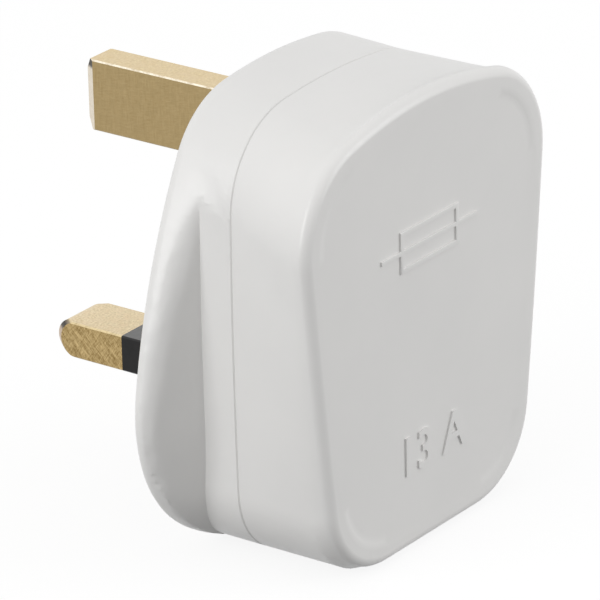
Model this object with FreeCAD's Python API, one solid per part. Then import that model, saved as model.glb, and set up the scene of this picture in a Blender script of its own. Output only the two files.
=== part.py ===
import FreeCAD, Part
import math
import os
from collections import namedtuple

from FreeCAD import Vector

# Three pin plug, standing on its cable end. X is across the plug with the live side positive,
# Y points along the pins out of the engagement face, Z is up with the earth pin on top.
# All sizes are in millimetres.

# Pins, to the standard sizes of the thirteen amp plug
line_pin_width = 6.35
line_pin_thickness = 3.97
line_pin_length = 18.1
line_pin_offset = 11.11
earth_pin_thickness = 3.97
earth_pin_height = 7.92
earth_pin_length = 22.73
earth_pin_rise = 22.22
pin_line_height = 19.0
line_side_bevel = 0.7
line_side_bevel_length = 0.85
earth_side_bevel = 0.65
earth_side_bevel_length = 1.15
earth_top_bevel = 1.2
earth_top_bevel_length = 0.7
pin_edge_bevel = 0.15
sleeve_length = 9.2
sleeve_wall = 0.45

# Depths behind the engagement face
rim_land = 1.4
recess_depth = 4.4
recess_slope = 19.0
recess_top_below = 7.0
recess_stand = 0.02
parting_depth = 8.3
crease_depth = 18.0
body_depth = 20.15

# Room beside and above the fuse and above the earth terminal, and how the outlines' tops differ
fuse_side_room = 0.105
fuse_head_room = 8.7
earth_head_room = 3.98
rim_top_above = 0.7
crease_top_below = 0.3
rear_top_above = 0.2

# Outline of the flange, seen from the back
rim_width = 49.6
rim_shoulder_width = 35.2
rim_crown_radius = 61.0
rim_corner_radius = 10.8
rim_side_radius = 76.0
rim_low_radius = 17.1

# Outline of the body between the finger recesses
body_crown_radius = 80.0
body_corner_radius = 10.3
body_side_radius = 600.0
body_low_radius = 8.9

# Outline at the crease in front of the rear face, with how far it flares beyond the body
crease_shoulder_flare = 6.2
crease_foot_flare = 0.4
crease_crown_radius = 54.0
crease_corner_radius = 10.3
crease_side_radius = 600.0
crease_low_radius = 9.3

# Outline of the rear face, with how far it flares beyond the crease
rear_shoulder_flare = 0.5
rear_crown_radius = 52.4
rear_corner_radius = 10.6
rear_side_radius = 750.0
rear_low_radius = 9.8
rear_foot_rise = 0.35

# Rounded edges of the mouldings
face_edge_round = 1.2
rear_edge_round = 1.1
panel_sink = 0.25
panel_inset = 1.9
panel_slope_width = 1.5
seam_bevel = 0.12
round_steps = 5
narrowing_steps = 6

# Walls of the two mouldings
wall = 2.2
floor_thickness = 3.0
rear_wall = 2.2
rib = 1.2
tongue_height = 1.2
tongue_clearance = 0.1
part_clearance = 0.05
seat_clearance = 0.2

# Cable entry and cord grip
entry_radius = 4.2
collar_wall = 1.6
collar_length = 5.0
grip_height = 9.0
grip_width = 6.0
grip_thickness = 1.6
grip_ear_reach = 10.8
grip_screw_offset = 8.4
grip_post_radius = 2.4
grip_screw_radius = 1.45
grip_screw_head_radius = 2.3
grip_screw_head_height = 1.5
grip_screw_length = 5.0

# Cover screw, its washer and the insert that it holds
cover_screw_rise = 7.8
cover_screw_radius = 1.95
cover_screw_head_radius = 3.6
cover_screw_head_height = 2.0
cover_screw_sink = 2.5
cover_screw_length = 13.4
counterbore_clearance = 0.25
boss_radius = 5.2
boss_floor = 2.0
pillar_radius = 3.9
washer_radius = 3.0
washer_thickness = 0.8
insert_radius = 2.8
insert_length = 5.4
insert_start = 0.4

# Terminals
terminal_height = 7.8
neutral_block_width = 7.2
neutral_block_rise = 7.6
neutral_block_drop = 3.0
earth_block_width = 6.6
earth_block_height = 8.4
wire_hole_radius = 1.6
wire_hole_depth = 3.4
terminal_screw_radius = 1.7
terminal_screw_head_radius = 2.5
terminal_screw_head_height = 1.5
slot_width = 0.8
slot_depth = 0.8

# Fuse and the parts that carry it
fuse_length = 25.4
fuse_cap_radius = 3.175
fuse_cap_length = 6.2
fuse_cap_wall = 0.3
fuse_tube_wall = 0.9
fuse_wire_radius = 0.2
fuse_axis_x = 11.9
fuse_axis_depth = 10.6
fuse_low_end = -3.7
clip_thickness = 0.5
clip_length = 4.5
clip_inset = 0.8
clip_clearance = 0.02
clip_opening_angle = 100.0
clip_foot_width = 5.0
live_head_drop = 7.4
live_head_rise = 2.2
live_head_margin = 0.5
rivet_radius = 0.9
rivet_head_radius = 1.5
rivet_head_height = 0.6
rivet_drop = 5.6
live_block_span = 5.8
live_block_gap = 0.4
live_block_outer = 8.6
live_block_height = 6.0

# Values worked out from the sizes above
face_y = (body_depth - earth_pin_length) / 2
earth_height = pin_line_height + earth_pin_rise
cover_screw_height = pin_line_height + cover_screw_rise
fuse_bottom = pin_line_height + fuse_low_end
fuse_top = fuse_bottom + fuse_length
live_block_high = fuse_top - clip_inset - clip_length - live_block_gap
live_block_low = live_block_high - live_block_span
live_block_inner = pillar_radius + seat_clearance
body_top = max(fuse_top + fuse_head_room, earth_height + earth_block_height / 2 + earth_head_room)
rim_top = body_top + rim_top_above
crease_top = body_top - crease_top_below
rear_top = body_top + rear_top_above
recess_top = body_top - recess_top_below
clip_radius = fuse_cap_radius + clip_clearance
clip_base_depth = fuse_axis_depth - clip_radius - clip_thickness
body_width = 2 * (fuse_axis_x + clip_radius + clip_thickness + fuse_side_room + wall)
crease_shoulder_width = body_width + crease_shoulder_flare
crease_foot_width = body_width + crease_foot_flare

Ring = namedtuple("Ring", "top crown_radius shoulder_width corner_radius side_radius "
                          "foot_width low_radius foot")
rim_ring = Ring(rim_top, rim_crown_radius, rim_shoulder_width, rim_corner_radius,
                rim_side_radius, rim_width, rim_low_radius, 0)
body_ring = Ring(body_top, body_crown_radius, body_width, body_corner_radius,
                 body_side_radius, body_width, body_low_radius, 0)
crease_ring = Ring(crease_top, crease_crown_radius, crease_shoulder_width, crease_corner_radius,
                   crease_side_radius, crease_foot_width, crease_low_radius, 0)
rear_ring = Ring(rear_top, rear_crown_radius, crease_shoulder_width + rear_shoulder_flare,
                 rear_corner_radius, rear_side_radius, crease_foot_width, rear_low_radius,
                 rear_foot_rise)


def at(x, depth, z):
    """A point by its place across, its depth behind the engagement face and its height."""
    return Vector(x, face_y - depth, z)


def box(x_low, x_high, depth_low, depth_high, z_low, z_high):
    """A block between two places across, two depths and two heights."""
    size = Vector(x_high - x_low, depth_high - depth_low, z_high - z_low)
    return Part.makeBox(size.x, size.y, size.z, at(x_low, depth_high, z_low))


def post(x, z, radius, depth_low, depth_high):
    """A round post or hole along the depth."""
    return Part.makeCylinder(radius, depth_high - depth_low, at(x, depth_low, z), Vector(0, -1, 0))


def upright(x, depth, radius, z_low, z_high):
    """A round bar or hole along the height."""
    return Part.makeCylinder(radius, z_high - z_low, at(x, depth, z_low), Vector(0, 0, 1))


def arc(centre_x, centre_z, radius, start, end, depth):
    """An arc between two angles, measured from +X towards +Z, at one depth."""
    points = []
    for angle in (start, (start + end) / 2, end):
        points.append(at(centre_x + radius * math.cos(angle), depth, centre_z + radius * math.sin(angle)))
    return Part.Arc(*points).toShape()


def outline(ring, depth, inset=0.0):
    """A closed outline of tangent arcs about the middle of the plug, with a straight foot."""
    crown_z = ring.top - ring.crown_radius
    corner_x = ring.shoulder_width / 2 - ring.corner_radius
    corner_z = crown_z + math.sqrt((ring.crown_radius - ring.corner_radius) ** 2 - corner_x ** 2)
    low_x = ring.foot_width / 2 - ring.low_radius
    low_z = ring.foot + ring.low_radius
    to_corner = ring.side_radius - ring.corner_radius
    to_low = ring.side_radius - ring.low_radius
    gap = math.hypot(corner_x - low_x, corner_z - low_z)
    along = (to_low ** 2 - to_corner ** 2 + gap ** 2) / (2 * gap)
    away = math.sqrt(to_low ** 2 - along ** 2)
    up_x = (corner_x - low_x) / gap
    up_z = (corner_z - low_z) / gap
    side_x = low_x + along * up_x - away * up_z
    side_z = low_z + along * up_z + away * up_x
    crown_end = math.atan2(corner_z - crown_z, corner_x)
    corner_end = math.atan2(corner_z - side_z, corner_x - side_x)
    side_end = math.atan2(low_z - side_z, low_x - side_x)
    foot_angle = -math.pi / 2
    right = [
        arc(corner_x, corner_z, ring.corner_radius - inset, crown_end, corner_end, depth),
        arc(side_x, side_z, ring.side_radius - inset, corner_end, side_end, depth),
        arc(low_x, low_z, ring.low_radius - inset, side_end, foot_angle, depth),
    ]
    foot_z = ring.foot + inset
    foot = Part.LineSegment(at(low_x, depth, foot_z), at(-low_x, depth, foot_z)).toShape()
    left = [
        arc(-low_x, low_z, ring.low_radius - inset, foot_angle, -math.pi - side_end, depth),
        arc(-side_x, side_z, ring.side_radius - inset, math.pi - side_end, math.pi - corner_end, depth),
        arc(-corner_x, corner_z, ring.corner_radius - inset, math.pi - corner_end, math.pi - crown_end, depth),
    ]
    crown = arc(0, crown_z, ring.crown_radius - inset, math.pi - crown_end, crown_end, depth)
    return Part.Wire(right + [foot] + left + [crown])


def loft(sections):
    """A solid skinned straight from each outline to the next."""
    return Part.makeLoft(sections, True, True)


def prism(ring, depth_low, depth_high, inset=0.0):
    """A straight bar with one outline."""
    return loft([outline(ring, depth_low, inset), outline(ring, depth_high, inset)])


def slotted_screw(x, z, seat_depth, radius, head_radius, head_height, length):
    """A cheese head screw driven from the back, with its head on seat_depth."""
    head = post(x, z, head_radius, seat_depth, seat_depth + head_height)
    slot = box(x - head_radius, x + head_radius, seat_depth + head_height - slot_depth,
               seat_depth + head_height, z - slot_width / 2, z + slot_width / 2)
    shank = post(x, z, radius, seat_depth - length, seat_depth)
    return head.fuse(shank).cut(slot).removeSplitter()


# Base: the white moulding with the flange, which carries the pins

def front_round(ring, radius):
    """Outlines of a rounded edge that starts on the engagement face."""
    sections = []
    for step in range(round_steps + 1):
        angle = math.pi / 2 * step / round_steps
        sections.append(outline(ring, radius * (1 - math.cos(angle)), radius * (1 - math.sin(angle))))
    return sections


def finger_recess(side):
    """What is scooped out of one side behind the flange, down to the body's wall."""
    rise = math.tan(math.radians(recess_slope))
    half = body_width / 2
    corners = [(half - body_low_radius, recess_depth + body_low_radius * rise),
               (rim_width, recess_depth - (rim_width - half) * rise),
               (rim_width, body_depth), (half - body_low_radius, body_depth)]
    points = [at(side * x, depth, 0) for x, depth in corners]
    wedge = Part.Face(Part.makePolygon(points + points[:1])).extrude(Vector(0, 0, recess_top))
    return wedge.cut(prism(body_ring, 0, body_depth, -recess_stand))


def narrowing(step):
    """One outline on the way from the flange's side to the body at the seam."""
    share = step / narrowing_steps
    side_share = share ** 2
    upper = [near + (far - near) * share for near, far in zip(rim_ring[:4], body_ring[:4])]
    side_radius = 1 / ((1 - side_share) / rim_side_radius + side_share / body_side_radius)
    lower = [near + (far - near) * side_share for near, far in zip(rim_ring[5:], body_ring[5:])]
    depth = rim_land + (parting_depth - seam_bevel - rim_land) * share
    return outline(Ring(*upper, side_radius, *lower), depth)


def base_outside():
    """The flange, which narrows to the body at the seam, less the two finger recesses."""
    shape = loft(front_round(rim_ring, face_edge_round)
                 + [narrowing(step) for step in range(narrowing_steps + 1)]
                 + [outline(body_ring, parting_depth, seam_bevel)])
    for side in (-1, 1):
        shape = shape.cut(finger_recess(side))
    return shape


def base():
    shape = base_outside()
    shape = shape.cut(prism(body_ring, floor_thickness, parting_depth, wall))
    inner = []
    # boss for the cover screw
    inner.append(post(0, cover_screw_height, boss_radius, floor_thickness,
                      cover_screw_sink + cover_screw_head_height + boss_floor))
    inner.append(post(0, cover_screw_height, pillar_radius, floor_thickness, parting_depth))
    # pedestals under the live pin's clip and under the live terminal
    inner.append(hollow_pedestal(live_block_inner, fuse_axis_x + clip_foot_width / 2,
                                 live_block_low,
                                 fuse_top - clip_inset))
    # ribs that locate the neutral and earth blocks
    inner.append(frame_rib(-line_pin_offset, neutral_block_width,
                           pin_line_height - neutral_block_drop, pin_line_height + neutral_block_rise))
    inner.append(frame_rib(0, earth_block_width,
                           earth_height - earth_block_height / 2, earth_height + earth_block_height / 2))
    # posts for the cord grip
    for side in (-1, 1):
        inner.append(post(side * grip_screw_offset, grip_height, grip_post_radius,
                          floor_thickness, parting_depth))
    # half of the collar round the cable entry
    inner.append(upright(0, parting_depth, entry_radius + collar_wall, 0, collar_length)
                 .common(box(-body_width, body_width, floor_thickness, parting_depth, 0, collar_length)))
    cavity = prism(body_ring, floor_thickness, parting_depth, wall / 2)
    for piece in inner:
        shape = shape.fuse(piece.common(cavity))
    # groove that takes the cover's tongue
    groove_depth = parting_depth - tongue_height - tongue_clearance
    groove = prism(body_ring, groove_depth, parting_depth, wall / 2)
    shape = shape.cut(groove.cut(prism(body_ring, groove_depth, parting_depth, wall + tongue_clearance)))
    holes = [
        post(0, cover_screw_height, cover_screw_head_radius + counterbore_clearance, 0,
             cover_screw_sink + cover_screw_head_height),
        post(0, cover_screw_height, cover_screw_radius + part_clearance, 0, parting_depth),
        post(0, cover_screw_height, washer_radius + part_clearance,
             parting_depth - washer_thickness, parting_depth),
        upright(0, parting_depth, entry_radius, 0, collar_length),
        pin_hole(-line_pin_offset, pin_line_height, line_pin_width, line_pin_thickness),
        pin_hole(line_pin_offset, pin_line_height, line_pin_width, line_pin_thickness),
        pin_hole(0, earth_height, earth_pin_thickness, earth_pin_height),
    ]
    for side in (-1, 1):
        holes.append(post(side * grip_screw_offset, grip_height, grip_screw_radius + part_clearance,
                          parting_depth + grip_thickness - grip_screw_length - seat_clearance,
                          parting_depth))
    for hole in holes:
        shape = shape.cut(hole)
    return shape.removeSplitter()


def pin_hole(x, z, width, height):
    """The slot in the floor that a pin stands in."""
    return box(x - width / 2 - part_clearance, x + width / 2 + part_clearance, 0, floor_thickness,
               z - height / 2 - part_clearance, z + height / 2 + part_clearance)


def hollow_pedestal(x_low, x_high, z_low, z_high):
    """A cored block that holds a clip's foot above the floor."""
    block = box(x_low, x_high, floor_thickness, clip_base_depth, z_low, z_high)
    core = box(x_low + rib, x_high - rib, floor_thickness, clip_base_depth, z_low + rib, z_high - rib)
    return block.cut(core)


def frame_rib(x, width, z_low, z_high):
    """Low ribs round a terminal block, with the block's clearance."""
    gap = part_clearance
    outer = box(x - width / 2 - gap - rib, x + width / 2 + gap + rib, floor_thickness,
                floor_thickness + rib * 2, z_low - gap - rib, z_high + gap + rib)
    inner = box(x - width / 2 - gap, x + width / 2 + gap, floor_thickness,
                floor_thickness + rib * 2, z_low - gap, z_high + gap)
    return outer.cut(inner)


# Cover: the white moulding that closes the back

def back_round(ring, depth, radius):
    """Outlines of a rounded edge that ends on a flat back at one depth."""
    sections = []
    for step in range(round_steps + 1):
        angle = math.pi / 2 * step / round_steps
        sections.append(outline(ring, depth - radius * (1 - math.sin(angle)), radius * (1 - math.cos(angle))))
    return sections


def cover():
    shape = loft([outline(body_ring, parting_depth, seam_bevel)]
                 + [outline(body_ring, parting_depth + seam_bevel)]
                 + [outline(crease_ring, crease_depth)]
                 + back_round(rear_ring, body_depth, rear_edge_round))
    shape = shape.cut(loft([
        outline(rear_ring, body_depth, panel_inset),
        outline(rear_ring, body_depth - panel_sink, panel_inset + panel_slope_width),
    ]))
    inside_depth = body_depth - rear_wall
    hollow = loft([
        outline(body_ring, parting_depth, wall),
        outline(crease_ring, inside_depth, wall + rear_edge_round),
    ])
    shape = shape.cut(hollow)
    tongue = prism(body_ring, parting_depth - tongue_height, parting_depth + rib,
                   wall / 2 + tongue_clearance)
    tongue = tongue.cut(prism(body_ring, parting_depth - tongue_height, parting_depth + rib, wall))
    shape = shape.fuse(tongue)
    inner = []
    inner.append(post(0, cover_screw_height, pillar_radius, parting_depth + seat_clearance, inside_depth))
    inner.append(upright(0, parting_depth, entry_radius + collar_wall, 0, collar_length)
                 .common(box(-body_width, body_width, parting_depth, inside_depth, 0, collar_length)))
    # ribs that hold the terminals and the fuse down
    block_top = floor_thickness + terminal_height + terminal_screw_head_height + seat_clearance
    inner.append(box(-line_pin_offset - rib / 2, -line_pin_offset + rib / 2, block_top, inside_depth,
                     pin_line_height - neutral_block_drop, pin_line_height + neutral_block_rise))
    inner.append(box(-rib / 2, rib / 2, block_top, inside_depth,
                     earth_height - earth_block_height / 2, earth_height + earth_block_height / 2))
    fuse_back = fuse_axis_depth + fuse_cap_radius + seat_clearance
    inner.append(box(fuse_axis_x - rib / 2, fuse_axis_x + rib / 2, fuse_back, inside_depth,
                     fuse_bottom, fuse_top))
    for piece in inner:
        shape = shape.fuse(piece)
    shape = shape.cut(upright(0, parting_depth, entry_radius, 0, collar_length))
    shape = shape.cut(post(0, cover_screw_height, insert_radius + part_clearance,
                           parting_depth + seat_clearance, parting_depth + insert_start + insert_length))
    shape = shape.cut(post(0, cover_screw_height, cover_screw_radius + seat_clearance, parting_depth,
                           cover_screw_sink + cover_screw_head_height + cover_screw_length + seat_clearance))
    return shape.removeSplitter()


# Pins: brass bars with a terminal block behind the floor

def edged_bar(x, z, width, height, depth_low, depth_high):
    """A bar along the depth whose four long edges are slightly broken."""
    half_width = width / 2
    half_height = height / 2
    flat_width = half_width - pin_edge_bevel
    flat_height = half_height - pin_edge_bevel
    corners = [
        (-flat_width, -half_height), (flat_width, -half_height),
        (half_width, -flat_height), (half_width, flat_height),
        (flat_width, half_height), (-flat_width, half_height),
        (-half_width, flat_height), (-half_width, -flat_height),
    ]
    points = [at(x + across, depth_high, z + up) for across, up in corners]
    face = Part.Face(Part.makePolygon(points + points[:1]))
    return face.extrude(Vector(0, depth_high - depth_low, 0))


def nosed_profile(x, z, height, length):
    """The outline of a bar seen from its side, with a fully rounded nose."""
    radius = height / 2
    top = at(x, radius - length, z + radius)
    low = at(x, radius - length, z - radius)
    nose = Part.Arc(top, at(x, -length, z), low).toShape()
    low_start = at(x, -sleeve_length, z - radius)
    top_start = at(x, -sleeve_length, z + radius)
    lines = [
        Part.LineSegment(low, low_start).toShape(),
        Part.LineSegment(low_start, top_start).toShape(),
        Part.LineSegment(top_start, top).toShape(),
    ]
    return Part.Wire([nose] + lines)


def bevelled_plan(x, z, width, height, length, bevel, bevel_length):
    """A cutter seen from above: a bar that narrows on both sides towards its tip."""
    tip = -length
    half = width / 2
    points = [
        at(x - half, floor_thickness, z - height), at(x - half, tip + bevel_length, z - height),
        at(x - half + bevel, tip, z - height), at(x + half - bevel, tip, z - height),
        at(x + half, tip + bevel_length, z - height), at(x + half, floor_thickness, z - height),
    ]
    return Part.Face(Part.makePolygon(points + points[:1])).extrude(Vector(0, 0, 2 * height))


def bevelled_profile(x, z, width, height, length, bevel, bevel_length):
    """A cutter seen from the side: a bar bevelled above and below its tip."""
    tip = -length
    half = height / 2
    side = x - width
    points = [
        at(side, floor_thickness, z - half), at(side, tip + bevel_length, z - half),
        at(side, tip, z - half + bevel), at(side, tip, z + half - bevel),
        at(side, tip + bevel_length, z + half), at(side, floor_thickness, z + half),
    ]
    return Part.Face(Part.makePolygon(points + points[:1])).extrude(Vector(2 * width, 0, 0))


def sleeve_core(x):
    """The thinner stretch of a current carrying pin, inside its sleeve."""
    half_width = line_pin_width / 2 - sleeve_wall
    half_thickness = line_pin_thickness / 2 - sleeve_wall
    return box(x - half_width, x + half_width, -sleeve_length, floor_thickness,
               pin_line_height - half_thickness, pin_line_height + half_thickness)


def line_pin_bar(x):
    """The bar of a sleeved pin: rounded and bevelled at its nose, thinner inside its sleeve."""
    half = line_pin_width / 2
    side_length = line_pin_length - line_side_bevel_length
    bar = loft([
        nosed_profile(x - half, pin_line_height, line_pin_thickness, side_length),
        nosed_profile(x - half + line_side_bevel, pin_line_height, line_pin_thickness, line_pin_length),
        nosed_profile(x + half - line_side_bevel, pin_line_height, line_pin_thickness, line_pin_length),
        nosed_profile(x + half, pin_line_height, line_pin_thickness, side_length),
    ])
    bar = bar.common(edged_bar(x, pin_line_height, line_pin_width, line_pin_thickness,
                               -line_pin_length, -sleeve_length))
    return bar.fuse(sleeve_core(x))


def sleeve(x):
    """The black moulded sleeve on the inner half of a current carrying pin."""
    outer = edged_bar(x, pin_line_height, line_pin_width, line_pin_thickness, -sleeve_length, floor_thickness)
    return outer.cut(sleeve_core(x))


def terminal_block(x, width, z_low, z_high, screw_z, depth_low, height):
    """A brass block with a wire hole along its height and a screw hole from the back."""
    block = box(x - width / 2, x + width / 2, depth_low, depth_low + height, z_low, z_high)
    block = block.cut(upright(x, depth_low + wire_hole_depth, wire_hole_radius, z_low, z_high))
    return block.cut(post(x, screw_z, terminal_screw_radius + part_clearance,
                          depth_low + wire_hole_depth, depth_low + height))


def terminal_screw(x, screw_z, depth_low, height):
    """The screw that pinches the wire in a terminal block."""
    return slotted_screw(x, screw_z, depth_low + height, terminal_screw_radius,
                         terminal_screw_head_radius, terminal_screw_head_height,
                         height - wire_hole_depth)


def neutral_pin():
    block = terminal_block(-line_pin_offset, neutral_block_width, pin_line_height - neutral_block_drop,
                           pin_line_height + neutral_block_rise, neutral_screw_height(),
                           floor_thickness, terminal_height)
    return line_pin_bar(-line_pin_offset).fuse(block).removeSplitter()


def neutral_screw_height():
    return pin_line_height + (neutral_block_rise - neutral_block_drop) / 2


def earth_pin():
    bar = edged_bar(0, earth_height, earth_pin_thickness, earth_pin_height, -earth_pin_length, floor_thickness)
    bar = bar.common(bevelled_plan(0, earth_height, earth_pin_thickness, earth_pin_height,
                                   earth_pin_length, earth_side_bevel, earth_side_bevel_length))
    bar = bar.common(bevelled_profile(0, earth_height, earth_pin_thickness, earth_pin_height,
                                      earth_pin_length, earth_top_bevel, earth_top_bevel_length))
    block = terminal_block(0, earth_block_width, earth_height - earth_block_height / 2,
                           earth_height + earth_block_height / 2, earth_height,
                           floor_thickness, terminal_height)
    return bar.fuse(block).removeSplitter()


def live_pin():
    """The live pin, whose head carries the lower fuse clip on a rivet."""
    head = box(line_pin_offset - line_pin_width / 2, fuse_axis_x + clip_foot_width / 2 + live_head_margin,
               floor_thickness, clip_base_depth,
               pin_line_height - live_head_drop, pin_line_height + live_head_rise)
    rivet_z = pin_line_height - rivet_drop
    shank = post(fuse_axis_x, rivet_z, rivet_radius, clip_base_depth, clip_base_depth + clip_thickness)
    cap_depth = clip_base_depth + clip_thickness
    cap = post(fuse_axis_x, rivet_z, rivet_head_radius, cap_depth, cap_depth + rivet_head_height)
    return line_pin_bar(line_pin_offset).fuse([head, shank, cap]).removeSplitter()


# Fuse and its clips

def clip_spring(z_low):
    """The curved cheeks that grip a fuse cap, open to the back, with flared lips."""
    half = math.radians(clip_opening_angle) / 2
    start = -math.pi / 2 + half
    end = 3 * math.pi / 2 - half
    outer_radius = clip_radius + clip_thickness

    def on_circle(radius, angle):
        return at(fuse_axis_x + radius * math.cos(angle), fuse_axis_depth - radius * math.sin(angle), z_low)

    middle = (start + end) / 2
    inner_arc = Part.Arc(on_circle(clip_radius, start), on_circle(clip_radius, middle),
                         on_circle(clip_radius, end)).toShape()
    outer_arc = Part.Arc(on_circle(outer_radius, end), on_circle(outer_radius, middle),
                         on_circle(outer_radius, start)).toShape()
    close_end = Part.LineSegment(on_circle(clip_radius, end), on_circle(outer_radius, end)).toShape()
    close_start = Part.LineSegment(on_circle(outer_radius, start), on_circle(clip_radius, start)).toShape()
    face = Part.Face(Part.Wire([inner_arc, close_end, outer_arc, close_start]))
    return face.extrude(Vector(0, 0, clip_length))


def fuse_clip_lower():
    z_low = fuse_bottom + clip_inset
    spring = clip_spring(z_low)
    foot = box(fuse_axis_x - clip_foot_width / 2, fuse_axis_x + clip_foot_width / 2,
               clip_base_depth, clip_base_depth + clip_thickness,
               pin_line_height - live_head_drop, z_low + clip_length)
    hole = post(fuse_axis_x, pin_line_height - rivet_drop, rivet_radius, clip_base_depth,
                clip_base_depth + clip_thickness)
    inside = upright(fuse_axis_x, fuse_axis_depth, clip_radius, z_low, z_low + clip_length)
    return spring.fuse(foot).cut(hole).cut(inside).removeSplitter()


def fuse_clip_upper():
    z_high = fuse_top - clip_inset
    spring = clip_spring(z_high - clip_length)
    foot = box(fuse_axis_x - clip_foot_width / 2, fuse_axis_x + clip_foot_width / 2,
               clip_base_depth, clip_base_depth + clip_thickness,
               live_block_low, z_high)
    tail = box(live_block_inner, fuse_axis_x, clip_base_depth, clip_base_depth + clip_thickness,
               live_block_low, live_block_high)
    inside = upright(fuse_axis_x, fuse_axis_depth, clip_radius, z_high - clip_length, z_high)
    return spring.fuse([foot, tail]).cut(inside).removeSplitter()


def live_terminal():
    x = (live_block_inner + live_block_outer) / 2
    return terminal_block(x, live_block_outer - live_block_inner, live_block_low,
                          live_block_high, live_screw_height(),
                          clip_base_depth + clip_thickness, live_block_height)


def live_screw_height():
    return (live_block_low + live_block_high) / 2


def live_terminal_screw():
    x = (live_block_inner + live_block_outer) / 2
    return terminal_screw(x, live_screw_height(), clip_base_depth + clip_thickness, live_block_height)


def fuse_tube():
    outer_radius = fuse_cap_radius - fuse_cap_wall
    low = fuse_bottom + fuse_cap_wall
    high = fuse_top - fuse_cap_wall
    tube = upright(fuse_axis_x, fuse_axis_depth, outer_radius, low, high)
    return tube.cut(upright(fuse_axis_x, fuse_axis_depth, outer_radius - fuse_tube_wall, low, high))


def fuse_cap(z_closed, z_open):
    low = min(z_closed, z_open)
    high = max(z_closed, z_open)
    cap = upright(fuse_axis_x, fuse_axis_depth, fuse_cap_radius, low, high)
    inside_low = low + fuse_cap_wall if z_closed < z_open else low
    inside_high = high if z_closed < z_open else high - fuse_cap_wall
    return cap.cut(upright(fuse_axis_x, fuse_axis_depth, fuse_cap_radius - fuse_cap_wall,
                           inside_low, inside_high))


def fuse_wire():
    return upright(fuse_axis_x, fuse_axis_depth, fuse_wire_radius,
                   fuse_bottom + fuse_cap_wall, fuse_top - fuse_cap_wall)


def fuse_sand():
    radius = fuse_cap_radius - fuse_cap_wall - fuse_tube_wall
    low = fuse_bottom + fuse_cap_wall
    high = fuse_top - fuse_cap_wall
    sand = upright(fuse_axis_x, fuse_axis_depth, radius, low, high)
    return sand.cut(upright(fuse_axis_x, fuse_axis_depth, fuse_wire_radius, low, high))


# Cover screw, its washer and insert

def cover_screw():
    """A slotted cheese head screw that goes in from the engagement face."""
    head_end = cover_screw_sink + cover_screw_head_height
    head = post(0, cover_screw_height, cover_screw_head_radius, cover_screw_sink, head_end)
    slot = box(-cover_screw_head_radius, cover_screw_head_radius, cover_screw_sink,
               cover_screw_sink + slot_depth, cover_screw_height - slot_width / 2,
               cover_screw_height + slot_width / 2)
    shank = post(0, cover_screw_height, cover_screw_radius, head_end, head_end + cover_screw_length)
    return head.fuse(shank).cut(slot).removeSplitter()


def screw_washer():
    """The washer that keeps the screw in the base when the cover is off."""
    ring = post(0, cover_screw_height, washer_radius, parting_depth - washer_thickness, parting_depth)
    return ring.cut(post(0, cover_screw_height, cover_screw_radius + part_clearance,
                         parting_depth - washer_thickness, parting_depth))


def cover_insert():
    """The brass insert in the cover's pillar."""
    low = parting_depth + insert_start
    ring = post(0, cover_screw_height, insert_radius, low, low + insert_length)
    return ring.cut(post(0, cover_screw_height, cover_screw_radius + part_clearance,
                         low, low + insert_length))


# Cord grip: a saddle over the cord, held by two screws

def cord_grip():
    z_low = grip_height - grip_width / 2
    z_high = grip_height + grip_width / 2
    hoop = upright(0, parting_depth, entry_radius + grip_thickness, z_low, z_high)
    ears = box(-grip_ear_reach, grip_ear_reach, parting_depth, parting_depth + grip_thickness,
               z_low, z_high)
    shape = hoop.fuse(ears).cut(upright(0, parting_depth, entry_radius, z_low, z_high))
    shape = shape.cut(box(-body_width, body_width, 0, parting_depth, z_low, z_high))
    for side in (-1, 1):
        shape = shape.cut(post(side * grip_screw_offset, grip_height, grip_screw_radius + part_clearance,
                               parting_depth, parting_depth + grip_thickness))
    return shape.removeSplitter()


def grip_screw(side):
    return slotted_screw(side * grip_screw_offset, grip_height, parting_depth + grip_thickness,
                         grip_screw_radius, grip_screw_head_radius, grip_screw_head_height,
                         grip_screw_length)


pieces = {
    "base": base(),
    "cover": cover(),
    "cover_screw": cover_screw(),
    "cover_screw_washer": screw_washer(),
    "cover_insert": cover_insert(),
    "earth_pin": earth_pin(),
    "earth_terminal_screw": terminal_screw(0, earth_height, floor_thickness, terminal_height),
    "neutral_pin": neutral_pin(),
    "neutral_sleeve": sleeve(-line_pin_offset),
    "neutral_terminal_screw": terminal_screw(-line_pin_offset, neutral_screw_height(),
                                             floor_thickness, terminal_height),
    "live_pin": live_pin(),
    "live_sleeve": sleeve(line_pin_offset),
    "fuse_clip_lower": fuse_clip_lower(),
    "fuse_clip_upper": fuse_clip_upper(),
    "live_terminal": live_terminal(),
    "live_terminal_screw": live_terminal_screw(),
    "fuse_tube": fuse_tube(),
    "fuse_cap_lower": fuse_cap(fuse_bottom, fuse_bottom + fuse_cap_length),
    "fuse_cap_upper": fuse_cap(fuse_top, fuse_top - fuse_cap_length),
    "fuse_wire": fuse_wire(),
    "fuse_sand": fuse_sand(),
    "cord_grip": cord_grip(),
    "cord_grip_screw_left": grip_screw(-1),
    "cord_grip_screw_right": grip_screw(1),
}

os.makedirs("parts", exist_ok=True)
for name, shape in pieces.items():
    shape.exportStep("parts/" + name + ".step")
    print(name, len(shape.Solids), shape.isValid(), round(shape.Volume, 1))
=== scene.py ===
import bmesh
import bpy
import math
from mathutils import Matrix, Vector
from mathutils.kdtree import KDTree


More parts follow.
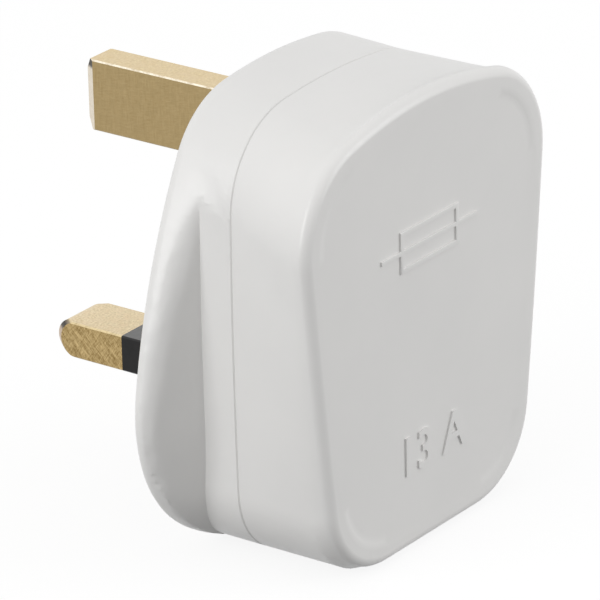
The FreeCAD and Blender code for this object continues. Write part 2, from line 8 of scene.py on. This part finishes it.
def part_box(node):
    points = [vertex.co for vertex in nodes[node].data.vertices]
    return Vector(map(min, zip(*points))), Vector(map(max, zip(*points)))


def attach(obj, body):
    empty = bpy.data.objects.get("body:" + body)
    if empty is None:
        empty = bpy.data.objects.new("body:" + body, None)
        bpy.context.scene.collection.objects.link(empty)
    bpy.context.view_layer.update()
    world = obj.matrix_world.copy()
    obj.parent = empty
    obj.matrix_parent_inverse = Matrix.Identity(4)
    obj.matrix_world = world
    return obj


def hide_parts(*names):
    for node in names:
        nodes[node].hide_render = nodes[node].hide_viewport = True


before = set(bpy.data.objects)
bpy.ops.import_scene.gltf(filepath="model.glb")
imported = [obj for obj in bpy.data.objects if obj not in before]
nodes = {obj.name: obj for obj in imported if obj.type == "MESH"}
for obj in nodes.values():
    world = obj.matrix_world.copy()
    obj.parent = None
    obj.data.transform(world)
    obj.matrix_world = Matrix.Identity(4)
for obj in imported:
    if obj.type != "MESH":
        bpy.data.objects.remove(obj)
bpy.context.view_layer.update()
collection = bpy.context.scene.collection


# Base moulding with the flange
# White urea, pressed in a polished mould, so it is even in colour and satin rather than glossy.
# The three pins stand in its floor and the captive screw goes through its middle.

cover_depth = 0.01185
seam_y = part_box("cover")[0].y + cover_depth
engagement_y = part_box("base")[1].y


def feed(tree, value, socket):
    """A number or a colour is set on a socket, and what another node gives is linked to it."""
    if isinstance(value, bpy.types.NodeSocket):
        tree.links.new(value, socket)
    else:
        socket.default_value = value


def maths(tree, operation, *values, clamp=False):
    """A sum on numbers, or on what other nodes give."""
    node = tree.nodes.new("ShaderNodeMath")
    node.operation = operation
    node.use_clamp = clamp
    for value, socket in zip(values, node.inputs):
        feed(tree, value, socket)
    return node.outputs["Value"]


def spread(tree, value, low, high, to_low=0.0, to_high=1.0):
    """One range of a value laid over another."""
    node = tree.nodes.new("ShaderNodeMapRange")
    for number, name in ((value, "Value"), (low, "From Min"), (high, "From Max"), (to_low, "To Min"),
                         (to_high, "To Max")):
        feed(tree, number, node.inputs[name])
    return node.outputs["Result"]


def along(tree, vector, axis):
    """How far a vector goes along one axis."""
    split = tree.nodes.new("ShaderNodeSeparateXYZ")
    tree.links.new(vector, split.inputs["Vector"])
    return split.outputs[axis]


def new_group(name, numbers, result):
    """An empty shader group: a vector and named numbers go in, and one number comes out."""
    group = bpy.data.node_groups.new(name, "ShaderNodeTree")
    group.interface.new_socket(name="Vector", in_out="INPUT", socket_type="NodeSocketVector")
    for number in numbers:
        group.interface.new_socket(name=number, in_out="INPUT", socket_type="NodeSocketFloat")
    group.interface.new_socket(name=result, in_out="OUTPUT", socket_type="NodeSocketFloat")
    given = group.nodes.new("NodeGroupInput").outputs
    wanted = group.nodes.new("NodeGroupOutput").inputs[result]
    return group, given, wanted


def group_noise(group, given, detail, roughness):
    """Noise inside a group, on the group's own vector and scale."""
    noise = group.nodes.new("ShaderNodeTexNoise")
    noise.inputs["Detail"].default_value = detail
    noise.inputs["Roughness"].default_value = roughness
    for name in ("Vector", "Scale"):
        group.links.new(given[name], noise.inputs[name])
    return noise.outputs["Fac"]


def patch_group():
    """Slow patches of light and dark between a low and a high value."""
    group, given, wanted = new_group("soft patches", ("Scale", "Low", "High"), "Value")
    noise = group_noise(group, given, 4.0, 0.55)
    group.links.new(spread(group, noise, 0.3, 0.7, given["Low"], given["High"]), wanted)
    return group


soft_patches = patch_group()


def patches(tree, vector, scale, low, high):
    """One use of the soft patches, placed in a material."""
    node = tree.nodes.new("ShaderNodeGroup")
    node.node_tree = soft_patches
    for value, name in ((vector, "Vector"), (scale, "Scale"), (low, "Low"), (high, "High")):
        feed(tree, value, node.inputs[name])
    return node.outputs["Value"]


def blend_colours(tree, factor, first, second):
    """A mix of two colours, or of a colour and what another node gives."""
    mix = tree.nodes.new("ShaderNodeMix")
    mix.data_type = "RGBA"
    tree.links.new(factor, mix.inputs["Factor"])
    for value, name in ((first, "A"), (second, "B")):
        feed(tree, (*value, 1.0) if isinstance(value, tuple) else value, mix.inputs[name])
    return mix.outputs["Result"]


def bump(tree, shader, height, strength, distance):
    """Relief in the surface from a height."""
    node = tree.nodes.new("ShaderNodeBump")
    node.inputs["Strength"].default_value = strength
    node.inputs["Distance"].default_value = distance
    tree.links.new(height, node.inputs["Height"])
    tree.links.new(node.outputs["Normal"], shader.inputs["Normal"])


def new_material(name):
    """An empty material: its tree, its shader and the object's own coordinates."""
    material = bpy.data.materials.new(name)
    material.use_nodes = True
    tree = material.node_tree
    shader = tree.nodes["Principled BSDF"]
    place = tree.nodes.new("ShaderNodeTexCoord").outputs["Object"]
    return material, tree, shader, place


def white_urea():
    """Satin white moulding, faintly uneven, with painted shade in a thin line where the two mouldings meet.
    """
    material, tree, shader, place = new_material("white_urea")
    tone = patches(tree, place, 70.0, 0.0, 1.0)
    body = blend_colours(tree, tone, (0.815, 0.808, 0.794), (0.787, 0.781, 0.769))
    # Painted shade: the base colour is darkened in a thin band along the seam, where the groove between the
    # mouldings lies in shade.
    from_seam = maths(tree, "ABSOLUTE", maths(tree, "SUBTRACT", along(tree, place, "Y"), seam_y))
    seam_painted_shade = spread(tree, from_seam, 0.00003, 0.00013, 1.0, 0.0)
    tree.links.new(blend_colours(tree, seam_painted_shade, body, (0.75, 0.745, 0.73)), shader.inputs["Base Color"])
    tree.links.new(patches(tree, place, 900.0, 0.28, 0.36), shader.inputs["Roughness"])
    shader.inputs["IOR"].default_value = 1.5
    bump(tree, shader, patches(tree, place, 5200.0, 0.0, 1.0), 0.06, 0.00002)
    return material


white = white_urea()


def stand(name, data):
    """A new object in the scene, made of a mesh, letters, a lamp or a camera."""
    thing = bpy.data.objects.new(name, data)
    collection.objects.link(thing)
    return thing


def moulded_copy(node, name):
    """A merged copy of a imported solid, with the cuts across its flat faces taken out."""
    mesh = nodes[node].data.copy()
    mesh.name = name
    work = bmesh.new()
    work.from_mesh(mesh)
    bmesh.ops.remove_doubles(work, verts=work.verts, dist=0.000002)
    bmesh.ops.dissolve_limit(work, angle_limit=math.radians(0.05), verts=work.verts, edges=work.edges)
    work.to_mesh(mesh)
    work.free()
    return stand(name, mesh)


def even_shading(piece, sharp_angle):
    """Smooth across the curves, sharp at the corners, and flat where a face is flat."""
    work = bmesh.new()
    work.from_mesh(piece.data)
    for face in work.faces:
        face.smooth = True
    for edge in work.edges:
        edge.smooth = edge.calc_face_angle(0.0) < math.radians(sharp_angle)
    work.to_mesh(piece.data)
    work.free()
    normals = piece.modifiers.new("even_shading", "WEIGHTED_NORMAL")
    normals.keep_sharp = True
    normals.weight = 80


def finished_mesh(piece):
    """The mesh that a piece's modifiers or letters come to."""
    bpy.context.view_layer.update()
    evaluated = piece.evaluated_get(bpy.context.evaluated_depsgraph_get())
    return bpy.data.meshes.new_from_object(evaluated)


def combine(piece, tools, operation):
    """Each tool is cut from the piece or joined to it, and then thrown away."""
    for tool in tools:
        modifier = piece.modifiers.new("combine", "BOOLEAN")
        modifier.operation = operation
        modifier.solver = "EXACT"
        modifier.use_self = True
        modifier.object = tool
    mesh = finished_mesh(piece)
    piece.modifiers.clear()
    piece.data = mesh
    for tool in tools:
        bpy.data.objects.remove(tool)


def letters(words, height, depth, place, turn):
    """Plain letters or numbers as a closed solid, centred on a place."""
    curve = bpy.data.curves.new("letters", "FONT")
    curve.body = words
    curve.size = height * 1.45
    curve.resolution_u = 5
    curve.offset = 0.00007
    curve.extrude = depth
    curve.align_x = "CENTER"
    curve.align_y = "CENTER"
    text = stand("letters", curve)
    mesh = finished_mesh(text)
    bpy.data.objects.remove(text)
    work = bmesh.new()
    work.from_mesh(mesh)
    bmesh.ops.remove_doubles(work, verts=work.verts, dist=0.000002)
    work.to_mesh(mesh)
    work.free()
    mesh.transform(Matrix.Translation(place) @ turn)
    return stand("letters", mesh)


def recess_floors(work):
    """The flat floors of the two finger recesses, known by how they lean."""
    lean = math.sin(math.radians(19.0))
    return [face for face in work.faces if abs(face.normal.z) < 0.01
            and abs(abs(face.normal.x) - lean) < 0.01 and face.normal.y < -0.9]


def ridge_points(work):
    """Points along the ridges where a recess's floor meets the flange."""
    spacing = 0.0003
    found = []
    for face in recess_floors(work):
        for edge in face.edges:
            if edge.calc_face_angle_signed(0.0) > 0.3:
                first, second = (vert.co.copy() for vert in edge.verts)
                steps = max(1, int((second - first).length / spacing))
                found += [first.lerp(second, step / steps) for step in range(steps + 1)]
    tree = KDTree(len(found))
    for number, point in enumerate(found):
        tree.insert(point, number)
    tree.balance()
    return tree


def cut_in_grid(work, faces):
    """The chosen faces cut into small squares, for the rounding to bend."""
    grid = 0.0005
    levels = [Vector((0.0, 0.0, number * grid)) for number in range(1, 84)]
    columns = [Vector((side * number * grid, 0.0, 0.0)) for number in range(23, 50) for side in (-1, 1)]
    for place in levels + columns:
        parts = [item for face in faces for item in (*face.edges, *face.verts)]
        result = bmesh.ops.bisect_plane(work, geom=list(dict.fromkeys(faces + parts)), dist=0.00001,
                                        plane_co=place, plane_no=place.normalized())
        faces = [item for item in result["geom"] if isinstance(item, bmesh.types.BMFace)]
    work.normal_update()
    return faces


def soft_recess(piece, reach, dips):
    """Each finger recess as the mould leaves it: its ridge rounded, its floor dipping at the foot."""
    blend = reach * 2.4
    # The dip fades out before the seam, and the rounding stays clear of the engagement face.
    seam_end, seam_fade = -0.0088, 0.0012
    land_y = -0.0016
    # The rounding is narrowest at this height, where the ridge nears the flange's edge.
    tight_height, tight_span, tightest = 0.012, 0.010, 0.4
    work = bmesh.new()
    work.from_mesh(piece.data)
    ridge = ridge_points(work)
    floors = recess_floors(work)
    near = [face for face in work.faces if face in floors or (
        face.normal.y < 0.99 and any(ridge.find(vert.co)[2] < blend for vert in face.verts))]
    area = {vert for face in cut_in_grid(work, near) for vert in face.verts}
    floors = recess_floors(work)
    floor = {vert for face in floors for vert in face.verts}
    walls = {vert for side in floors for edge in side.edges if edge.calc_face_angle_signed(0.0) < -0.3
             for face in edge.link_faces if face is not side for vert in face.verts}
    loose = [vert for vert in work.verts if vert in area and vert not in walls]
    dipped = [vert for vert in work.verts if vert in floor or (vert in area and vert not in walls)]
    for vert in dipped:
        drop = sum(depth * max(0.0, 1.0 - vert.co.z / top) ** 2 for depth, top in dips)
        share = 1.0 if vert in floor else max(0.0, 1.0 - ridge.find(vert.co)[2] / blend)
        clear = min(1.0, max(0.0, (vert.co.y - seam_end) / seam_fade))
        vert.co.y += drop * share * clear
    for part, rounds in ((1.5, 6), (1.0, 14), (0.7, 14)):
        chosen = []
        for vert in loose:
            width = reach * part * min(1.0, max(tightest, abs(vert.co.z - tight_height) / tight_span))
            if vert.co.y < land_y and ridge.find(vert.co)[2] < width:
                chosen.append(vert)
        for _ in range(rounds):
            bmesh.ops.smooth_vert(work, verts=chosen, factor=0.5, use_axis_x=True, use_axis_y=True,
                                  use_axis_z=True)
    work.normal_update()
    work.to_mesh(piece.data)
    work.free()


facing_back = Matrix.Rotation(math.pi / 2, 4, "X")
facing_front = Matrix.Rotation(math.pi, 4, "Z") @ facing_back
mark_depth = 0.0002
pin_mark_height = 0.0024
pin_marks = (("N", -0.0111, 0.0132), ("L", 0.0111, 0.0132), ("E", 0.0050, 0.0412))

base = moulded_copy("base", "base_moulding")
combine(base, [letters(word, pin_mark_height, mark_depth, Vector((x, engagement_y, z)), facing_front)
               for word, x, z in pin_marks], "DIFFERENCE")
soft_recess(base, 0.0015, ((0.0018, 0.016), (0.0026, 0.008)))
even_shading(base, 32)
base.data.materials.clear()
base.data.materials.append(white)
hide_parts("base")
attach(base, "root")


# Cover moulding
# The second white moulding, which closes the back and flares out to a rounded rear rim.
# A plain fuse symbol and the fuse's rating in amperes are moulded into its flat rear face.

rim_height = 0.00025
panel_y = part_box("cover")[0].y + rim_height
symbol_z = 0.0335
symbol_width = 0.0098
symbol_height = 0.0040
symbol_wire = 0.0170
line = 0.00055
rating_z = 0.0105
rating_height = 0.0042


def raised_bar(width, height, x, z):
    """A straight raised line on the rear panel, with soft edges."""
    work = bmesh.new()
    bmesh.ops.create_cube(work, size=1.0)
    bmesh.ops.scale(work, vec=(width, mark_depth * 2, height), verts=work.verts)
    outer = [edge for edge in work.edges if all(vert.co.y < 0 for vert in edge.verts)]
    bmesh.ops.bevel(work, geom=outer, offset=0.00008, offset_type="OFFSET", segments=2, profile=0.5,
                    affect="EDGES", material=-1)
    bmesh.ops.translate(work, vec=Vector((x, panel_y, z)), verts=work.verts)
    mesh = bpy.data.meshes.new("bar")
    work.to_mesh(mesh)
    work.free()
    return stand("bar", mesh)


cover = moulded_copy("cover", "cover_moulding")
combine(cover, [
    raised_bar(symbol_width, line, 0.0, symbol_z + symbol_height / 2),
    raised_bar(symbol_width, line, 0.0, symbol_z - symbol_height / 2),
    raised_bar(line, symbol_height + line, -symbol_width / 2, symbol_z),
    raised_bar(line, symbol_height + line, symbol_width / 2, symbol_z),
    raised_bar(symbol_wire, line * 0.9, 0.0, symbol_z),
    letters("13 A", rating_height, mark_depth, Vector((0.0, panel_y, rating_z)), facing_back),
], "UNION")
even_shading(cover, 32)
cover.data.materials.clear()
cover.data.materials.append(white)
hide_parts("cover")
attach(cover, "root")


# Brass pins
# Rectangular bars milled from hard brass. The cutter leaves fine marks on the flat sides,
# and the noses are bevelled so that the pins find their way into a socket.

def mark_group():
    """Fine marks that a cutter leaves, as a mask with an even contrast."""
    group, given, wanted = new_group("cutter marks", ("Scale", "Contrast"), "Marks")
    noise = group_noise(group, given, 3.0, 0.7)
    low = maths(group, "SUBTRACT", 0.5, given["Contrast"])
    high = maths(group, "ADD", 0.5, given["Contrast"])
    group.links.new(spread(group, noise, low, high), wanted)
    return group


cutter_marks = mark_group()


def marks(tree, place, stretch, turn, scale, contrast):
    """Cutter marks in a material: turned about X, then drawn out along the turned Z."""
    mapping = tree.nodes.new("ShaderNodeMapping")
    mapping.vector_type = "TEXTURE"
    mapping.inputs["Rotation"].default_value = (turn, 0.0, 0.0)
    mapping.inputs["Scale"].default_value = (1.0, 1.0, stretch)
    tree.links.new(place, mapping.inputs["Vector"])
    node = tree.nodes.new("ShaderNodeGroup")
    node.node_tree = cutter_marks
    node.inputs["Scale"].default_value = scale
    node.inputs["Contrast"].default_value = contrast
    tree.links.new(mapping.outputs["Vector"], node.inputs["Vector"])
    return node.outputs["Marks"]


def face_mask(tree, axis, low, high):
    """How far a surface faces along one axis, as a mask from 0 to 1."""
    normal = tree.nodes.new("ShaderNodeNewGeometry").outputs["Normal"]
    return spread(tree, along(tree, normal, axis), low, high)


def milled_brass(name, top, scale, turns, contrast, side, painted_top_reflection, edge, nose):
    """Milled brass with painted reflections on its tops and noses, painted highlights on its upper edges.
    """
    material, tree, shader, place = new_material(name)
    first = marks(tree, place, 7.0, turns[0], scale, contrast)
    second = marks(tree, place, 5.0, turns[1], scale * 1.3, contrast)
    lines = blend_colours(tree, patches(tree, place, 1400.0, 0.1, 0.9), first, second)
    milled = blend_colours(tree, lines, *side)
    # Painted reflection: the top faces take a lighter copy of the brass for the bright surroundings they
    # reflect, and the sides keep the darker colours.
    top_reflection_grains = blend_colours(tree, patches(tree, place, 4200.0, 0.0, 1.0), *painted_top_reflection[:2])
    top_reflection_tints = blend_colours(tree, patches(tree, place, 1100.0, 0.0, 0.6), top_reflection_grains, painted_top_reflection[2])
    metal = blend_colours(tree, face_mask(tree, "Z", 0.6, 0.9), milled, top_reflection_tints)
    # Painted highlight: a bright band of colour along the rounded upper edges.
    upper_edge = maths(tree, "MULTIPLY", face_mask(tree, "Z", 0.25, 0.45), face_mask(tree, "Z", 0.97, 0.85),
                       clamp=True)
    edge_highlight = maths(tree, "MULTIPLY", upper_edge, patches(tree, place, 1800.0, 0.3, 1.4), clamp=True)
    metal = blend_colours(tree, edge_highlight, metal, edge)
    # Painted reflection: the nose bevels take their own pale or brown colours for what they reflect.
    sideways = maths(tree, "ADD", face_mask(tree, "X", 0.2, 0.4), face_mask(tree, "X", -0.2, -0.4),
                     clamp=True)
    nose_bevel = maths(tree, "MULTIPLY", sideways, face_mask(tree, "Y", 0.25, 0.5), clamp=True)
    nose_reflection = blend_colours(tree, patches(tree, place, 1500.0, 0.0, 1.0), *nose)
    metal = blend_colours(tree, nose_bevel, metal, nose_reflection)
    # Painted dark reflection: a near black band on the nose bevels just under the top of each pin.
    near_top = spread(tree, along(tree, place, "Z"), top - 0.0012, top - 0.0008)
    nose_dark_reflection = maths(tree, "MULTIPLY", nose_bevel, near_top, clamp=True)
    metal = blend_colours(tree, nose_dark_reflection, metal, (0.035, 0.028, 0.018))
    tree.links.new(metal, shader.inputs["Base Color"])
    shader.inputs["Metallic"].default_value = 1.0
    tree.links.new(patches(tree, place, 1600.0, 0.32, 0.46), shader.inputs["Roughness"])
    bump(tree, shader, lines, 0.5, 0.000008)
    return material


def dress(node, material):
    """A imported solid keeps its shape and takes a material."""
    piece = nodes[node]
    piece.data.materials.clear()
    piece.data.materials.append(material)


line_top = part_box("neutral_sleeve")[1].z
earth_top = line_top + 0.02423
# Colours below: tops, edges and noses are painted reflections and highlights, and the sides are the darker
# copy.
earth_brass = milled_brass(
    "earth_pin_brass", earth_top, scale=4200.0, turns=(0.0, math.radians(80)), contrast=0.24,
    side=((0.30, 0.218, 0.100), (0.40, 0.302, 0.155)),
    painted_top_reflection=((0.62, 0.49, 0.275), (0.82, 0.68, 0.42), (0.74, 0.59, 0.38)),
    edge=(0.97, 0.89, 0.74), nose=((0.70, 0.63, 0.52), (0.78, 0.71, 0.60)))
line_brass = milled_brass(
    "line_pin_brass", line_top, scale=5000.0, turns=(math.radians(-45), math.radians(35)), contrast=0.15,
    side=((0.20, 0.128, 0.040), (0.58, 0.436, 0.215)),
    painted_top_reflection=((0.56, 0.45, 0.26), (0.92, 0.80, 0.55), (0.80, 0.63, 0.42)),
    edge=(0.72, 0.59, 0.35), nose=((0.46, 0.35, 0.25), (0.60, 0.475, 0.36)))
dress("earth_pin", earth_brass)
dress("neutral_pin", line_brass)
dress("live_pin", line_brass)


# Pin sleeves
# Black nylon moulded round the inner half of each line pin, so that no live metal shows
# while the plug is half out of its socket. The moulding is plain and slightly silky.

def black_nylon():
    """Near black nylon with faint moulding patches, rubbed to a polish on its upper side."""
    material, tree, shader, place = new_material("sleeve_nylon")
    tone = patches(tree, place, 600.0, 0.0, 1.0)
    tree.links.new(blend_colours(tree, tone, (0.008, 0.008, 0.008), (0.015, 0.014, 0.014)),
                   shader.inputs["Base Color"])
    shader.inputs["Specular IOR Level"].default_value = 0.2
    tree.links.new(patches(tree, place, 2200.0, 0.34, 0.46), shader.inputs["Roughness"])
    tree.links.new(face_mask(tree, "Z", 0.6, 0.9), shader.inputs["Coat Weight"])
    shader.inputs["Coat Roughness"].default_value = 0.25
    bump(tree, shader, patches(tree, place, 6000.0, 0.0, 1.0), 0.1, 0.00001)
    return material


sleeve_black = black_nylon()
dress("neutral_sleeve", sleeve_black)
dress("live_sleeve", sleeve_black)


# Screws, washer and insert
# The captive screw is zinc plated steel with a sawn slot, and its head sits deep in the
# engagement face. A red fibre washer holds it in the base, and a brass insert takes its thread.

def finish(name, colours, roughness, metallic=0.0, scales=(1200.0, 2000.0), relief=0.0):
    """A finish whose colour and roughness go in patches between two near values."""
    material, tree, shader, place = new_material(name)
    tone = patches(tree, place, scales[0], 0.0, 1.0)
    tree.links.new(blend_colours(tree, tone, *colours), shader.inputs["Base Color"])
    shader.inputs["Metallic"].default_value = metallic
    tree.links.new(patches(tree, place, scales[1], *roughness), shader.inputs["Roughness"])
    if relief:
        bump(tree, shader, patches(tree, place, 5000.0, 0.0, 1.0), relief, 0.00001)
    return material


steel = finish("zinc_plated_steel", ((0.50, 0.50, 0.48), (0.62, 0.62, 0.61)), (0.24, 0.40), metallic=1.0,
               scales=(1500.0, 2600.0), relief=0.2)
red_fibre = finish("red_fibre", ((0.17, 0.018, 0.012), (0.24, 0.035, 0.02)), (0.6, 0.8),
                   scales=(4000.0, 3000.0))
for screw in ("cover_screw", "earth_terminal_screw", "neutral_terminal_screw", "live_terminal_screw",
              "cord_grip_screw_left", "cord_grip_screw_right"):
    dress(screw, steel)
dress("cover_screw_washer", red_fibre)
dress("cover_insert", line_brass)
dress("live_terminal", line_brass)


# Fuse and its clips
# A cartridge fuse: a ceramic tube with nickel plated caps, a tinned wire and dry sand inside,
# held in two clips of rolled bronze strip. All of it is inside the closed housing.

bronze = finish("spring_bronze", ((0.42, 0.22, 0.09), (0.52, 0.30, 0.14)), (0.28, 0.40), metallic=1.0)
nickel = finish("nickel_plate", ((0.55, 0.53, 0.49), (0.64, 0.62, 0.58)), (0.20, 0.32), metallic=1.0)
tinned = finish("tinned_wire", ((0.58, 0.58, 0.56), (0.68, 0.68, 0.66)), (0.30, 0.42), metallic=1.0)
ceramic = finish("fuse_ceramic", ((0.72, 0.68, 0.58), (0.78, 0.74, 0.64)), (0.30, 0.42))
sand = finish("quartz_sand", ((0.48, 0.40, 0.26), (0.60, 0.52, 0.36)), (0.80, 0.92))
dress("fuse_clip_lower", bronze)
dress("fuse_clip_upper", bronze)
dress("fuse_tube", ceramic)
dress("fuse_cap_lower", nickel)
dress("fuse_cap_upper", nickel)
dress("fuse_wire", tinned)
dress("fuse_sand", sand)


# Cord grip
# A nylon saddle that two screws pull down on to the cord, just inside the cable entry.
# It is one plain moulding, with a screw through each end.

nylon = finish("grip_nylon", ((0.62, 0.62, 0.60), (0.68, 0.68, 0.66)), (0.42, 0.54))
dress("cord_grip", nylon)


# Floor, light and camera
# A plain white floor and surround. One large soft lamp stands at the side of the pins and a
# second behind the flat rear face, and the surround fills the rest.

def looked_at(tree):
    """One where the camera, a reflection or a view through glass sees the surface, else nothing."""
    path = tree.nodes.new("ShaderNodeLightPath").outputs
    direct = maths(tree, "MAXIMUM", path["Is Camera Ray"], path["Is Glossy Ray"])
    return maths(tree, "MAXIMUM", direct, path["Is Transmission Ray"])


def white_floor():
    """A floor that stays white to the camera and keeps the shadow of what stands on it."""
    glow = 0.87
    material, tree, shader, _ = new_material("floor")
    shader.inputs["Base Color"].default_value = (0.15, 0.15, 0.15, 1.0)
    shader.inputs["Roughness"].default_value = 0.9
    shader.inputs["Specular IOR Level"].default_value = 0.0
    shader.inputs["Emission Color"].default_value = (1.0, 1.0, 1.0, 1.0)
    tree.links.new(maths(tree, "MULTIPLY", looked_at(tree), glow), shader.inputs["Emission Strength"])
    return material


floor_radius = 3.0
work = bmesh.new()
bmesh.ops.create_circle(work, cap_ends=True, segments=64, radius=floor_radius)
floor_mesh = bpy.data.meshes.new("floor")
work.to_mesh(floor_mesh)
work.free()
floor = stand("floor", floor_mesh)
floor.data.materials.append(white_floor())

fill_light = 0.66
seen_light = 1.0
world = bpy.data.worlds.new("surround")
bpy.context.scene.world = world
world.use_nodes = True
surround = world.node_tree
background = surround.nodes["Background"]
background.inputs["Color"].default_value = (1.0, 1.0, 1.0, 1.0)
surround.links.new(spread(surround, looked_at(surround), 0.0, 1.0, fill_light, seen_light),
                   background.inputs["Strength"])


def soft_lamp(name, size, power, place):
    """A square lamp that points at the middle of the plug."""
    middle = Vector((0.0, 0.0, 0.025))
    data = bpy.data.lights.new(name, "AREA")
    data.size = size
    data.energy = power
    lamp = stand(name, data)
    lamp.location = place
    lamp.rotation_euler = (middle - Vector(place)).to_track_quat("-Z", "Y").to_euler()


soft_lamp("left_lamp", 0.40, 1.72, (-0.54, 0.155, 0.225))
soft_lamp("rear_lamp", 0.45, 1.85, (0.352, -0.575, 0.213))

view = bpy.data.cameras.new("camera")
view.lens = 322.38
view.sensor_width = 36.0
view.clip_start = 0.01
view.clip_end = 50.0
camera = stand("camera", view)
camera.location = (-0.413849, -0.313305, 0.238896)
camera.rotation_euler = (math.radians(67.2888), math.radians(1.2968), math.radians(-53.8270))
bpy.context.scene.camera = camera
bpy.context.scene.view_settings.view_transform = "Standard"
